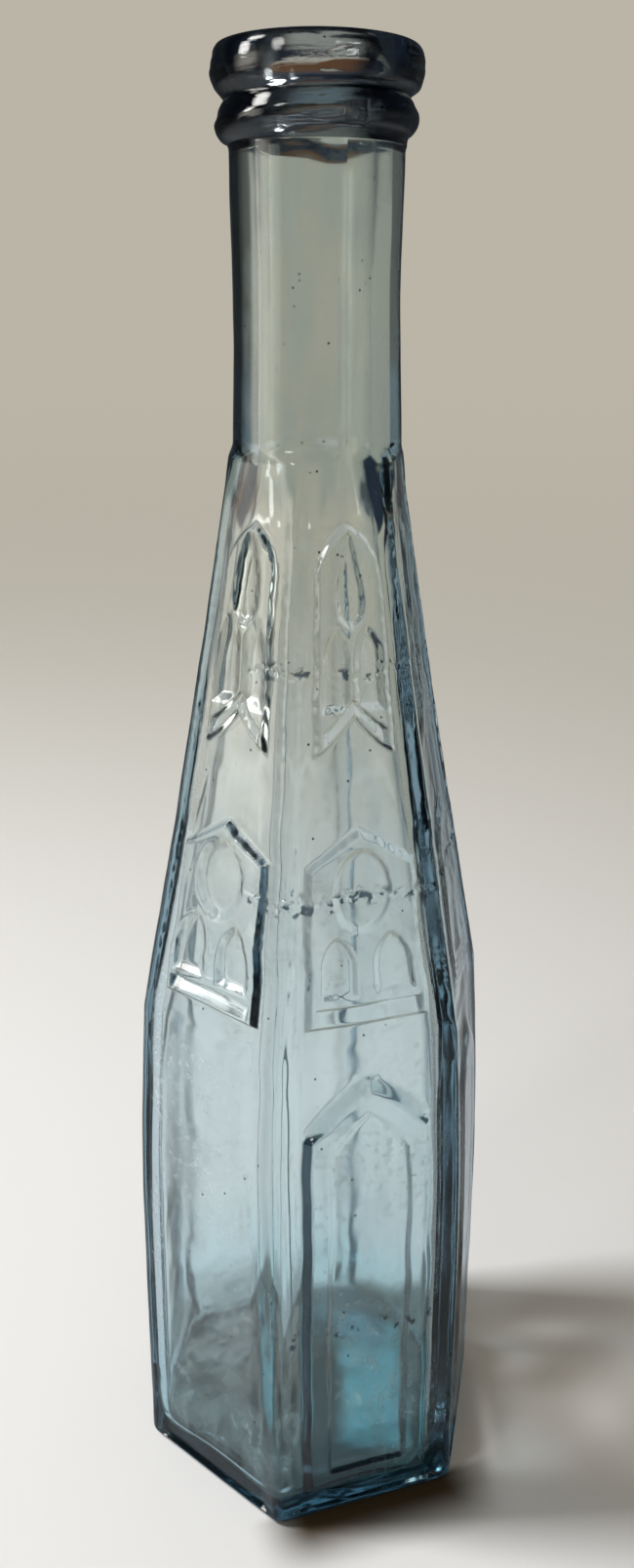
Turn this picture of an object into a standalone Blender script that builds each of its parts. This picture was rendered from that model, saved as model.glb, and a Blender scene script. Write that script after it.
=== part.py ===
"""Six-sided gothic pepper sauce bottle in pale aqua glass.

The body is blown in a mould: a six-sided lower body with a slight belly, a long
tapering shoulder with two storeys of window tracery on every face, and a round
neck. A second gather of glass, laid round the end of the neck and tooled into
two rings, makes the lip. The origin is on the table at the middle of the base,
+Z is up, and the front door panel faces -Y.
"""
import math

import bmesh
import bpy

# Heights, stacked from the table to the top of the lip
LOWER_BODY_HEIGHT = 0.0757
TAPER_HEIGHT = 0.0853
NECK_HEIGHT = 0.0476
LIP_HEIGHT = 0.0134

# Body, measured across opposite corners of the six-sided section
BASE_ACROSS_CORNERS = 0.0562
KINK_ACROSS_CORNERS = 0.0568
SHOULDER_ACROSS_CORNERS = 0.0282
BELLY_SWELL = 0.00085
TAPER_HOLLOW = 0.0004
BODY_EDGE_RADIUS = 0.0022
SHOULDER_EDGE_RADIUS = 0.0050
HEEL_RADIUS = 0.0016
SHOULDER_ROUNDING = 0.0016

# Neck, round and slightly waisted
NECK_FOOT_DIAMETER = 0.0262
NECK_WAIST_DIAMETER = 0.0255

# Glass thickness and the hollow inside
WALL_THICKNESS = 0.0025
BASE_THICKNESS = 0.0034
FLOOR_RISE = 0.0066
CAVITY_EDGE_RADIUS = 0.0030
BORE_DIAMETER = 0.0170
BORE_THROAT_LENGTH = 0.0100

# Push-up under the base, inside the flat ring that the bottle rests on
REST_RING_WIDTH = 0.0062
PUSH_UP_DEPTH = 0.0042

# Lip, from the bore outwards: the end of the neck that it is laid around, the step
# that it seats on, and how far its rings stand proud of the neck's head
NECK_END_WALL = 0.0031
NECK_END_LENGTH = 0.0086
SEAT_STEP = 0.0017
SEAT_GAP = 0.0003
LIP_FOOT_PROUD = 0.00015
LOWER_RING_HEIGHT = 0.0061
LOWER_RING_PROUD = 0.0022
NOTCH_PROUD = 0.0007
UPPER_RING_PROUD = 0.00275
LIP_TOP_PROUD = 0.0010
MOUTH_FLARE = 0.0008

# Relief: the frames stand proud of the faces with drafted sides, and their lights are sunk
UPPER_FRAME_HEIGHT = 0.00065
LOWER_FRAME_HEIGHT = 0.00090
DOOR_HEIGHT = 0.00082
FRAME_DRAFT = 0.0008
LIGHT_DEPTH = 0.00015
DOOR_PANEL_DEPTH = 0.00045
SILL_HEIGHT = 0.0026
SILL_HEADROOM = 0.0004
SILL_JAMB_WIDTH = 0.0012
CUT_OVERRUN = 0.0012

# Bottom and top of each storey, as shares of the taper and of the lower body
UPPER_WINDOW_RANGE_SHARES = (0.512, 0.899)
LOWER_WINDOW_RANGE_SHARES = (0.052, 0.377)
DOOR_RANGE_SHARES = (0.058, 0.942)

# Shares of the half face width (across) and of the window height (up)
UPPER_FRAME_HALF_SHARE = 0.57
UPPER_FRAME_SPRING_SHARE = 0.76
UPPER_SILL_PEAK_SHARE = 0.16
TEARDROP_HALF_SHARE = 0.29
TEARDROP_RANGE_SHARES = (0.56, 0.96)
TEARDROP_POINT_SHARE = 1.2
UPPER_LANCET_CENTRE_SHARE = 0.27
UPPER_LANCET_HALF_SHARE = 0.19
UPPER_LANCET_RANGE_SHARES = (0.20, 0.40, 0.55)

LOWER_FRAME_HALF_SHARE = 0.67
LOWER_FRAME_EAVES_SHARE = 0.80
OCULUS_HALF_SHARE = 0.34
OCULUS_RANGE_SHARES = (0.50, 0.90)
LOWER_LANCET_CENTRE_SHARE = 0.33
LOWER_LANCET_HALF_SHARE = 0.20
LOWER_LANCET_RANGE_SHARES = (0.13, 0.30, 0.47)

DOOR_HALF_SHARE = 0.66
DOOR_EAVES_SHARE = 0.88
DOOR_ARCH_SWELL_SHARE = 0.10
DOOR_PANEL_HALF_SHARE = 0.40
DOOR_PANEL_RANGE_SHARES = (0.05, 0.84, 0.93)

# Power of the height share that sets how high the belly is widest
BELLY_LEAN_SHARE = 1.4
NECK_WAIST_SHARE = 0.45
LIP_ROUNDNESS_SHARE = 0.75

# The rounded corner between the wall and the floor of the hollow
FLOOR_CORNER_RISE_SHARE = 0.50
FLOOR_CORNER_INSET_SHARE = 0.25

# Counts
FACES = 6
CORNER_STEPS = 6
LOWER_BODY_STEPS = 6
TAPER_STEPS = 5
NECK_STEPS = 5
FLOOR_STEPS = 3
HEEL_STEPS = 3
ARCH_STEPS = 5
ROUND_STEPS = 16
LIP_SIDES = 48
RING_STEPS = 8
DOOR_FACES = (0, 1, 3, 4)

# Heights that follow from the ones above
KINK_Z = LOWER_BODY_HEIGHT
SHOULDER_Z = KINK_Z + TAPER_HEIGHT
LIP_FOOT_Z = SHOULDER_Z + NECK_HEIGHT
TOP_Z = LIP_FOOT_Z + LIP_HEIGHT
NECK_END_Z = LIP_FOOT_Z + NECK_END_LENGTH
UPPER_WINDOW = [KINK_Z + TAPER_HEIGHT * share for share in UPPER_WINDOW_RANGE_SHARES]
LOWER_WINDOW = [KINK_Z + TAPER_HEIGHT * share for share in LOWER_WINDOW_RANGE_SHARES]
DOOR = [KINK_Z * share for share in DOOR_RANGE_SHARES]

# Radii, depths and angles that follow
BORE_RADIUS = BORE_DIAMETER / 2
NECK_END_RADIUS = BORE_RADIUS + NECK_END_WALL
NECK_HEAD_RADIUS = NECK_END_RADIUS + SEAT_STEP
FRAME_ROOT = WALL_THICKNESS / 4
HALF_FACE_ANGLE = math.pi / FACES
CORNER_STEP_ANGLE = 2 * HALF_FACE_ANGLE / CORNER_STEPS
SHARP_ANGLE = math.radians(25)

GLASS_COLOUR = (0.62, 0.74, 0.76, 1.0)
LIP_COLOUR = (0.50, 0.64, 0.68, 1.0)
GLASS_ROUGHNESS = 0.04
GLASS_IOR = 1.5


def clear_scene():
    for item in list(bpy.data.objects):
        bpy.data.objects.remove(item, do_unlink=True)


def between(low, high, share):
    return low + (high - low) * share


def corner_distance(z):
    """Distance from the axis to a rounded corner of the body at height z."""
    base = BASE_ACROSS_CORNERS / 2
    kink = KINK_ACROSS_CORNERS / 2
    shoulder = SHOULDER_ACROSS_CORNERS / 2
    if z <= KINK_Z:
        share = max(z, 0) / KINK_Z
        swell = BELLY_SWELL * math.sin(math.pi * share ** BELLY_LEAN_SHARE)
        return between(base, kink, share) + swell
    share = min((z - KINK_Z) / TAPER_HEIGHT, 1)
    return between(kink, shoulder, share) - TAPER_HOLLOW * math.sin(math.pi * share)


def edge_radius(z):
    """Rounding of the six upright edges, which grows up the taper."""
    share = min(max((z - KINK_Z) / TAPER_HEIGHT, 0), 1)
    return between(BODY_EDGE_RADIUS, SHOULDER_EDGE_RADIUS, share)


def apothem(z):
    """Distance from the axis to the middle of a face at height z."""
    rounding = edge_radius(z)
    flat = (corner_distance(z) - rounding) * math.cos(HALF_FACE_ANGLE)
    return flat + rounding * math.cos(CORNER_STEP_ANGLE / 2)


def half_face(z):
    """Half the width of a face between its sharp corners at height z."""
    return apothem(z) * math.tan(HALF_FACE_ANGLE)


def neck_radius(z):
    """A waist: foot, waist and head joined by half cosines."""
    waist_z = between(SHOULDER_Z, LIP_FOOT_Z, NECK_WAIST_SHARE)
    if z <= waist_z:
        end = NECK_FOOT_DIAMETER / 2
        share = (waist_z - z) / (waist_z - SHOULDER_Z)
    else:
        end = NECK_HEAD_RADIUS
        share = (z - waist_z) / (LIP_FOOT_Z - waist_z)
    return between(NECK_WAIST_DIAMETER / 2, end, (1 - math.cos(math.pi * share)) / 2)


def hexagon_ring(corner, rounding, z):
    """Rounded hexagon: six corner arcs, with a corner halfway between faces."""
    centre = corner - rounding
    points = []
    for number in range(FACES):
        turn = (2 * number + 1) * HALF_FACE_ANGLE - math.pi / 2
        for step in range(CORNER_STEPS):
            angle = turn - HALF_FACE_ANGLE + (step + 0.5) * CORNER_STEP_ANGLE
            x = centre * math.cos(turn) + rounding * math.cos(angle)
            y = centre * math.sin(turn) + rounding * math.sin(angle)
            points.append((x, y, z))
    return points


def round_ring(radius, z):
    return hexagon_ring(radius, radius, z)


def cavity_ring(z, inset=0):
    """Section of the hollow: rounder towards the neck, a circle above the taper."""
    if z >= SHOULDER_Z:
        return round_ring(BORE_RADIUS, z)
    reach = apothem(z) - WALL_THICKNESS
    throat_z = SHOULDER_Z - BORE_THROAT_LENGTH
    if z > throat_z:
        share = (z - throat_z) / BORE_THROAT_LENGTH
        reach = between(apothem(throat_z) - WALL_THICKNESS, BORE_RADIUS, share)
    reach = max(reach, BORE_RADIUS) - inset
    share = min(max((z - KINK_Z) / (throat_z - KINK_Z), 0), 1)
    rounding = min(between(CAVITY_EDGE_RADIUS, reach, share), reach)
    corner = (reach - rounding) / math.cos(HALF_FACE_ANGLE) + rounding
    return hexagon_ring(corner, rounding, z)


def loft(name, rings, closed):
    """Join rings of equal count with quads. An open run is closed by a flat face at each end."""
    mesh = bmesh.new()
    rows = [[mesh.verts.new(point) for point in ring] for ring in rings]
    count = len(rows[0])
    pairs = list(zip(rows, rows[1:]))
    if closed:
        pairs.append((rows[-1], rows[0]))
    for lower, upper in pairs:
        for number in range(count):
            after = (number + 1) % count
            mesh.faces.new((lower[number], lower[after], upper[after], upper[number]))
    if not closed:
        for row in (rows[0], rows[-1]):
            mesh.faces.new(row)
    bmesh.ops.recalc_face_normals(mesh, faces=mesh.faces[:])
    data = bpy.data.meshes.new(name)
    mesh.to_mesh(data)
    mesh.free()
    item = bpy.data.objects.new(name, data)
    bpy.context.scene.collection.objects.link(item)
    return item


def push_up_rings():
    """The dome under the base, from its middle out to the rest ring."""
    radius = apothem(0) - HEEL_RADIUS - REST_RING_WIDTH
    rings = []
    for step in range(FLOOR_STEPS):
        share = (step + 1) / (FLOOR_STEPS + 1)
        depth = PUSH_UP_DEPTH * math.cos(math.pi / 2 * share)
        rings.append(round_ring(radius * share, depth))
    rings.append(round_ring(radius, 0))
    return rings


def heel_rings():
    """The rounded heel, from the flat it rests on up to the wall."""
    rings = []
    for step in range(HEEL_STEPS):
        angle = math.pi / 2 * step / HEEL_STEPS
        inset = HEEL_RADIUS * (1 - math.sin(angle))
        height = HEEL_RADIUS * (1 - math.cos(angle))
        rings.append(hexagon_ring(corner_distance(height) - inset, BODY_EDGE_RADIUS, height))
    return rings


def lower_body_heights():
    return [between(HEEL_RADIUS, KINK_Z, step / LOWER_BODY_STEPS) for step in range(LOWER_BODY_STEPS + 1)]


def wall_rings():
    """Outside of the body, from the heel to the shoulder."""
    heights = lower_body_heights()
    for step in range(TAPER_STEPS):
        heights.append(between(KINK_Z, SHOULDER_Z, (step + 1) / TAPER_STEPS))
    return [hexagon_ring(corner_distance(z), edge_radius(z), z) for z in heights]


def neck_rings():
    """Outside of the neck, and the thinner end that the lip is laid around."""
    foot_z = SHOULDER_Z + SHOULDER_ROUNDING
    seat_z = LIP_FOOT_Z - SEAT_GAP
    rings = []
    for step in range(NECK_STEPS + 1):
        z = between(foot_z, seat_z, step / NECK_STEPS)
        rings.append(round_ring(neck_radius(z), z))
    rings.append(round_ring(NECK_END_RADIUS, seat_z))
    rings.append(round_ring(NECK_END_RADIUS, NECK_END_Z))
    return rings


def hollow_rings():
    """Inside of the bottle, from the end of the neck down to the domed floor."""
    throat_z = SHOULDER_Z - BORE_THROAT_LENGTH
    corner_z = BASE_THICKNESS + CAVITY_EDGE_RADIUS * FLOOR_CORNER_RISE_SHARE
    rings = [round_ring(BORE_RADIUS, NECK_END_Z)]
    for z in (SHOULDER_Z, between(throat_z, SHOULDER_Z, 0.5), throat_z):
        rings.append(cavity_ring(z))
    for step in range(1, TAPER_STEPS):
        rings.append(cavity_ring(between(throat_z, KINK_Z, step / TAPER_STEPS)))
    for step in range(LOWER_BODY_STEPS):
        rings.append(cavity_ring(between(KINK_Z, corner_z, step / LOWER_BODY_STEPS)))
    rings.append(cavity_ring(corner_z))
    edge = cavity_ring(BASE_THICKNESS, CAVITY_EDGE_RADIUS * FLOOR_CORNER_INSET_SHARE)
    rings.append(edge)
    for step in range(FLOOR_STEPS):
        share = 1 - (step + 1) / (FLOOR_STEPS + 1)
        height = BASE_THICKNESS + FLOOR_RISE * (1 - share ** 2)
        rings.append([(x * share, y * share, height) for x, y, _ in edge])
    return rings


def on_face(face, across, z, inwards, wall):
    """A point near a face: across it, at a height, and inwards from its wall."""
    turn = face * 2 * HALF_FACE_ANGLE - math.pi / 2
    reach = wall(z) - inwards
    x = reach * math.cos(turn) - across * math.sin(turn)
    y = reach * math.sin(turn) + across * math.cos(turn)
    return (x, y, z)


def straight_wall(low, high):
    """The flat that joins the face at two heights, for a cutter with a flat back."""
    def wall(z):
        return between(apothem(low), apothem(high), (z - low) / (high - low))
    return wall


def lancet_shares(centre, half, bottom, spring, top):
    """A pointed arch on straight sides: each side of the arch is a 60 degree arc."""
    right = []
    for step in range(ARCH_STEPS + 1):
        angle = math.pi / 3 * step / ARCH_STEPS
        across = half * (2 * math.cos(angle) - 1)
        up = between(spring, top, math.sin(angle) / math.sin(math.pi / 3))
        right.append((across, up))
    left = [(-across, up) for across, up in reversed(right[:-1])]
    shares = [(-half, bottom), (half, bottom)] + right + left
    return [(centre + across, up) for across, up in shares]


def teardrop_shares(half, low, high):
    """A drop with its point upwards."""
    shares = []
    for step in range(ROUND_STEPS):
        turn = 2 * math.pi * step / ROUND_STEPS
        across = -half * math.sin(turn) * abs(math.sin(turn / 2)) ** TEARDROP_POINT_SHARE
        up = between(low, high, (1 + math.cos(turn)) / 2)
        shares.append((across, up))
    return shares


def oval_shares(half, low, high):
    shares = []
    for step in range(ROUND_STEPS):
        turn = 2 * math.pi * step / ROUND_STEPS
        shares.append((-half * math.sin(turn), between(low, high, (1 + math.cos(turn)) / 2)))
    return shares


def flat_outline(shares, window):
    """Shares of a window as places across the face and heights."""
    heights = [between(*window, up) for _, up in shares]
    return [(across * half_face(z), z) for (across, _), z in zip(shares, heights)]


def grown(outline, window, growth):
    """An outline moved outwards from the middle of its window."""
    low, high = window
    moved = []
    for across, z in outline:
        side = max(abs(across) + growth, 0) if across else 0
        up = (z - low) / (high - low)
        moved.append((math.copysign(side, across), z + growth * (2 * up - 1)))
    return moved


def root_growth(height):
    """How much wider a frame is at its root inside the wall than at mid height."""
    return FRAME_DRAFT * (0.5 + FRAME_ROOT / height)


def flat_block(mesh, face, window, front, front_reach, back, back_reach):
    """A closed block between two outlines, each at a distance out from the flat of a window."""
    wall = straight_wall(*window)
    front = [mesh.verts.new(on_face(face, across, z, -front_reach, wall)) for across, z in front]
    back = [mesh.verts.new(on_face(face, across, z, -back_reach, wall)) for across, z in back]
    mesh.faces.new(front)
    mesh.faces.new(reversed(back))
    count = len(front)
    for number in range(count):
        after = (number + 1) % count
        mesh.faces.new((front[after], front[number], back[number], back[after]))


def row_block(mesh, face, front_rows, front_reach, back_rows, back_reach):
    """A closed block whose front and back follow the bellied wall, from rows of height and half width."""
    layers = []
    for pair in zip(front_rows, back_rows):
        layer = []
        for (half, z), reach in zip(pair, (front_reach, back_reach)):
            across = (-half, half) if half else (0,)
            layer.append([mesh.verts.new(on_face(face, u, z, -reach, apothem)) for u in across])
        layers.append(layer)
    for (front_low, back_low), (front_high, back_high) in zip(layers, layers[1:]):
        if len(front_high) == 1:
            mesh.faces.new((front_low[0], front_low[1], front_high[0]))
            mesh.faces.new((back_low[1], back_low[0], back_high[0]))
        else:
            mesh.faces.new((front_low[0], front_low[1], front_high[1], front_high[0]))
            mesh.faces.new((back_low[1], back_low[0], back_high[0], back_high[1]))
        mesh.faces.new((front_low[1], back_low[1], back_high[-1], front_high[-1]))
        mesh.faces.new((back_low[0], front_low[0], front_high[0], back_high[0]))
    front, back = layers[0]
    mesh.faces.new((front[1], front[0], back[0], back[1]))


def relief_object(name, mesh):
    bmesh.ops.recalc_face_normals(mesh, faces=mesh.faces[:])
    data = bpy.data.meshes.new(name)
    mesh.to_mesh(data)
    mesh.free()
    item = bpy.data.objects.new(name, data)
    bpy.context.scene.collection.objects.link(item)
    item.hide_render = True
    item.display_type = "WIRE"
    return item


def upper_sill_shares():
    """A sill that rises to a peak in the middle."""
    half = UPPER_FRAME_HALF_SHARE
    return [(-half, 0), (0, UPPER_SILL_PEAK_SHARE), (half, 0)]


def lower_sill_shares():
    half = LOWER_FRAME_HALF_SHARE
    return [(-half, 0), (half, 0)]


def upper_frame_shares():
    """Pointed arch over its sill."""
    arch = lancet_shares(0, UPPER_FRAME_HALF_SHARE, 0, UPPER_FRAME_SPRING_SHARE, 1)
    return upper_sill_shares() + arch[2:]


def lower_frame_shares():
    half = LOWER_FRAME_HALF_SHARE
    eaves = LOWER_FRAME_EAVES_SHARE
    return lower_sill_shares() + [(half, eaves), (0, 1), (-half, eaves)]


def door_rows(half_share, low, eaves, high):
    """Upright jambs that follow the face, under a point with slightly swollen sides."""
    heights = [low]
    heights += [z for z in lower_body_heights() if low + CUT_OVERRUN < z < eaves - CUT_OVERRUN]
    rows = [(half_share * half_face(z), z) for z in heights]
    half = half_share * half_face(eaves)
    for step in range(ARCH_STEPS):
        share = step / ARCH_STEPS
        swell = DOOR_ARCH_SWELL_SHARE * math.sin(math.pi * share)
        rows.append((half * (1 - share + swell), between(eaves, high, share)))
    rows.append((0, high))
    return rows


def raised_frames():
    """The proud frames: an arched and a gabled window on each face, and the doors."""
    mesh = bmesh.new()
    windows = [(upper_frame_shares(), UPPER_WINDOW, UPPER_FRAME_HEIGHT),
               (lower_frame_shares(), LOWER_WINDOW, LOWER_FRAME_HEIGHT)]
    for face in range(FACES):
        for shares, window, height in windows:
            outline = flat_outline(shares, window)
            front = grown(outline, window, -FRAME_DRAFT / 2)
            back = grown(outline, window, root_growth(height))
            flat_block(mesh, face, window, front, height, back, -FRAME_ROOT)
    low, high = DOOR
    rows = door_rows(DOOR_HALF_SHARE, low, between(low, high, DOOR_EAVES_SHARE), high)
    front = grown(rows, DOOR, -FRAME_DRAFT / 2)
    back = grown(rows, DOOR, root_growth(DOOR_HEIGHT))
    for face in DOOR_FACES:
        row_block(mesh, face, front, DOOR_HEIGHT, back, -FRAME_ROOT)
    return relief_object("raised_frames", mesh)


def sill_cutter():
    """Wedges that leave a sloping sill along the foot of each window."""
    mesh = bmesh.new()
    sills = [(upper_sill_shares(), UPPER_WINDOW, UPPER_FRAME_HEIGHT),
             (lower_sill_shares(), LOWER_WINDOW, LOWER_FRAME_HEIGHT)]
    for shares, window, height in sills:
        sill = []
        for across, z in flat_outline(shares, window):
            side = max(abs(across) - SILL_JAMB_WIDTH, 0)
            sill.append((math.copysign(side, across), z))
        drop = SILL_HEIGHT * CUT_OVERRUN / (height + LIGHT_DEPTH)
        top = [(across, z + SILL_HEIGHT + SILL_HEADROOM) for across, z in reversed(sill)]
        front = [(across, z - drop) for across, z in sill] + top
        back = [(across, z + SILL_HEIGHT) for across, z in sill] + top
        for face in range(FACES):
            flat_block(mesh, face, window, front, height + CUT_OVERRUN, back, -LIGHT_DEPTH)
    return relief_object("sill_cutter", mesh)


def light_cutter():
    """The sunk lights of the windows, and the sunk panels of the doors."""
    mesh = bmesh.new()
    upper = [teardrop_shares(TEARDROP_HALF_SHARE, *TEARDROP_RANGE_SHARES)]
    lower = [oval_shares(OCULUS_HALF_SHARE, *OCULUS_RANGE_SHARES)]
    for side in (-1, 1):
        upper.append(lancet_shares(side * UPPER_LANCET_CENTRE_SHARE, UPPER_LANCET_HALF_SHARE,
                                   *UPPER_LANCET_RANGE_SHARES))
        lower.append(lancet_shares(side * LOWER_LANCET_CENTRE_SHARE, LOWER_LANCET_HALF_SHARE,
                                   *LOWER_LANCET_RANGE_SHARES))
    lights = [(shares, UPPER_WINDOW, UPPER_FRAME_HEIGHT) for shares in upper]
    lights += [(shares, LOWER_WINDOW, LOWER_FRAME_HEIGHT) for shares in lower]
    for shares, window, height in lights:
        outline = flat_outline(shares, window)
        for face in range(FACES):
            flat_block(mesh, face, window, outline, height + CUT_OVERRUN, outline, -LIGHT_DEPTH)
    rows = door_rows(DOOR_PANEL_HALF_SHARE, *[between(*DOOR, share) for share in DOOR_PANEL_RANGE_SHARES])
    for face in DOOR_FACES:
        row_block(mesh, face, rows, DOOR_HEIGHT + CUT_OVERRUN, rows, DOOR_HEIGHT - DOOR_PANEL_DEPTH)
    return relief_object("light_cutter", mesh)


def combine(item, other, operation):
    modifier = item.modifiers.new(other.name, "BOOLEAN")
    modifier.operation = operation
    modifier.solver = "EXACT"
    modifier.object = other


def give_glass(item, colour):
    material = bpy.data.materials.new(item.name + "_glass")
    material.use_nodes = True
    shader = material.node_tree.nodes["Principled BSDF"]
    shader.inputs["Base Color"].default_value = colour
    shader.inputs["Roughness"].default_value = GLASS_ROUGHNESS
    shader.inputs["Metallic"].default_value = 0
    shader.inputs["IOR"].default_value = GLASS_IOR
    shader.inputs["Transmission Weight"].default_value = 1
    item.data.materials.append(material)


def smooth(item):
    item.data.shade_smooth()
    item.data.set_sharp_from_angle(angle=SHARP_ANGLE)


def build_body():
    """The blown body: one run of rings from under the base, up the outside and down the inside."""
    rings = push_up_rings() + heel_rings() + wall_rings() + neck_rings() + hollow_rings()
    body = loft("bottle_body", rings, closed=False)
    combine(body, raised_frames(), "UNION")
    combine(body, sill_cutter(), "DIFFERENCE")
    combine(body, light_cutter(), "DIFFERENCE")
    give_glass(body, GLASS_COLOUR)
    smooth(body)
    return body


def ring_profile(low_z, high_z, low_radius, crest_radius, high_radius):
    """One tooled ring as radius and height, without its last point."""
    points = []
    for step in range(RING_STEPS):
        share = step / RING_STEPS
        foot = between(low_radius, high_radius, share)
        swell = math.sin(math.pi * share) ** LIP_ROUNDNESS_SHARE
        points.append((between(foot, crest_radius, swell), between(low_z, high_z, share)))
    return points


def lip_profile():
    """Half section of the lip: up the outside, over the top and down the inside."""
    notch_z = LIP_FOOT_Z + LOWER_RING_HEIGHT
    foot = NECK_HEAD_RADIUS + LIP_FOOT_PROUD
    notch = NECK_HEAD_RADIUS + NOTCH_PROUD
    top = NECK_HEAD_RADIUS + LIP_TOP_PROUD
    sleeve = NECK_END_RADIUS + SEAT_GAP
    sleeve_top = NECK_END_Z + SEAT_GAP
    points = ring_profile(LIP_FOOT_Z, notch_z, foot, NECK_HEAD_RADIUS + LOWER_RING_PROUD, notch)
    points += ring_profile(notch_z, TOP_Z, notch, NECK_HEAD_RADIUS + UPPER_RING_PROUD, top)
    points.append((top, TOP_Z))
    points.append((BORE_RADIUS + MOUTH_FLARE, TOP_Z))
    points.append((BORE_RADIUS, TOP_Z - MOUTH_FLARE))
    points.append((BORE_RADIUS, sleeve_top))
    points.append((sleeve, sleeve_top))
    points.append((sleeve, LIP_FOOT_Z))
    return points


def build_lip():
    """The applied lip, turned round the axis."""
    rings = []
    for radius, z in lip_profile():
        ring = []
        for side in range(LIP_SIDES):
            angle = 2 * math.pi * side / LIP_SIDES
            ring.append((radius * math.cos(angle), radius * math.sin(angle), z))
        rings.append(ring)
    lip = loft("applied_lip", rings, closed=True)
    give_glass(lip, LIP_COLOUR)
    smooth(lip)
    return lip


clear_scene()
build_body()
build_lip()
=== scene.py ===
"""Looks of the six-sided gothic pepper sauce bottle.

Two glass pieces stand for the two CAD nodes. The body follows the CAD's profile,
with tracery in relief, a free-blown inside, mould seams and pits. The lip is
tooled by hand, so its rings wander. Sizes of shapes are in millimetres, and
those of looks, lamps and camera in metres.
"""

import math

import bpy
import numpy as np
from mathutils import Matrix, Vector


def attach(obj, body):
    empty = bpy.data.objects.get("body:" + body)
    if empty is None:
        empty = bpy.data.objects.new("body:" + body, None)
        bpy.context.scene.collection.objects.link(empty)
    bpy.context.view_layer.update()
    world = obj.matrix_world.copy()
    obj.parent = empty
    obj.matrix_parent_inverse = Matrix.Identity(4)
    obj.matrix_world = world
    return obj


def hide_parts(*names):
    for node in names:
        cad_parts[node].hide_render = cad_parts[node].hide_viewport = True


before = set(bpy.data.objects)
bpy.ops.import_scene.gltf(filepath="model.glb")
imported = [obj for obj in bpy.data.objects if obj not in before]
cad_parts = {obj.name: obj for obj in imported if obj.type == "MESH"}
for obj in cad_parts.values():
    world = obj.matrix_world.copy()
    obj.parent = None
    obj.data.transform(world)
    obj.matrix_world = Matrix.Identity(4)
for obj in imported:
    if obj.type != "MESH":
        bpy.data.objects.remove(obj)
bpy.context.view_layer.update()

MM = 0.001

FACES = 6
SIXTH = math.pi / 3
HALF_SIXTH = math.pi / 6
SEED = 7

# The camera's heading, right of +Y, and its level directions to the right and ahead
HEADING = math.radians(18.836)
RIGHT = (math.cos(HEADING), -math.sin(HEADING), 0)
AHEAD = (math.sin(HEADING), math.cos(HEADING), 0)

# Profile of the body, as in the CAD
KINK_Z = 75.7
SHOULDER_Z = 161.0
LIP_FOOT_Z = 208.6
TOP_Z = 222.0
BASE_CORNER = 28.1
KINK_CORNER = 28.4
SHOULDER_CORNER = 14.1
BELLY_SWELL = 0.85
BELLY_LEAN = 1.4
TAPER_HOLLOW = 0.4
BODY_EDGE_RADIUS = 2.2
SHOULDER_EDGE_RADIUS = 5.0
CROWN_EDGE_RADIUS = 5.6
CROWN_Z = 148.0
HEEL_RADIUS = 1.6
SHOULDER_ROUNDING = 2.6
NECK_FOOT = 13.1
NECK_WAIST = 12.75
NECK_WAIST_SHARE = 0.45
NECK_HEAD = 13.3
EDGE_SCALE = 0.996

# The hollow, which is shifted to one side up to the shoulder
WALL = 2.5
HOLLOW_SHIFT = 1.0
HOLLOW_SHIFT_TURN = math.radians(161)
HOLLOW_SHIFT_RANGE = (118.0, 158.0)
NECK_BORE = 9.0
THROAT = 14.0
THROAT_TOP_Z = SHOULDER_Z + 2
CAVITY_EDGE = 6.5
CAVITY_TOP_EDGE = 8.5
CAVITY_FOOT_Z = 12.0
CAVITY_FOOT_ROUND = 4.0
CAVITY_FOOT_INSET = 0.45
CAVITY_FOOT_POWER = 1.35
FLOOR_CORNER_Z = 2.3
FLOOR_FACE_RISE = 2.2
FLOOR_RISE = 6.4
REST_RING = 6.2
PUSH_UP = 4.2

# The joint of the two pieces: a steep cone, from the outside of the neck up to the bore in the lip
JOINT_Z = 207.2
JOINT_TOP_Z = 217.5
JOINT_GAP = 0.03
JOINT_STEPS = 12

# Relief: frames and doors stand proud of the dipped faces, and the lights in the frames are sunk
FACE_DIP = 0.62
DIP_SIDES = (0.98, 0.70)
DIP_TOP_Z = 152.0
UPPER_RAISE = 1.0
LOWER_RAISE = 1.15
DOOR_RAISE = 1.38
SIDE_STEEPNESS = 1.5
DOOR_STEEPNESS = 1.28
GABLE_STEEPNESS_SHARE = 0.47
GABLE_SWELL = 0.10
LIGHT_STEEPNESS = 0.45
FRONT_LIGHT_STEEPNESS = 1.1
PANEL_DEPTH = 0.45
SILL_HEIGHT = 2.6
SILL_INSET = 1.2
SILL_LEDGE_SHARE = 0.1
LIGHT_DEPTH_SHARE = 0.5
DROP_DEPTH_SHARE = 0.85
STEP_SOFTNESS = 0.015
DOOR_FACES = (0, 1, 3, 4)
# How much relief is left on the faces where it was struck softly
SOFT_FACES = {1: 0.6, 2: 0.42, 3: 0.42, 4: 0.5}
SOFT_BLUR = 1.1

# Foot and head of each form. What follows is in shares: half widths and places beside the middle of half a
# face's width, and heights of the form's own height. The curves are powers.
UPPER_WINDOW = (119.4, 152.4)
UPPER_HALF = 0.57
UPPER_SPRING = 0.76
UPPER_SILL_POINT = 0.16
UPPER_SILL_CURVE = 1.3
DROP_HEIGHTS = (0.56, 0.96)
DROP_HALF = 0.29
DROP_CURVE = 0.6
LOWER_WINDOW = (80.1, 107.9)
LOWER_HALF = 0.67
LOWER_EAVES = 0.80
OVAL_MIDDLE = 0.70
OVAL_RISE = 0.20
OVAL_HALF = 0.34
# The half face in mm for which the pitch of the lower window's gable is set
GABLE_HALF_FACE = 14
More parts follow.
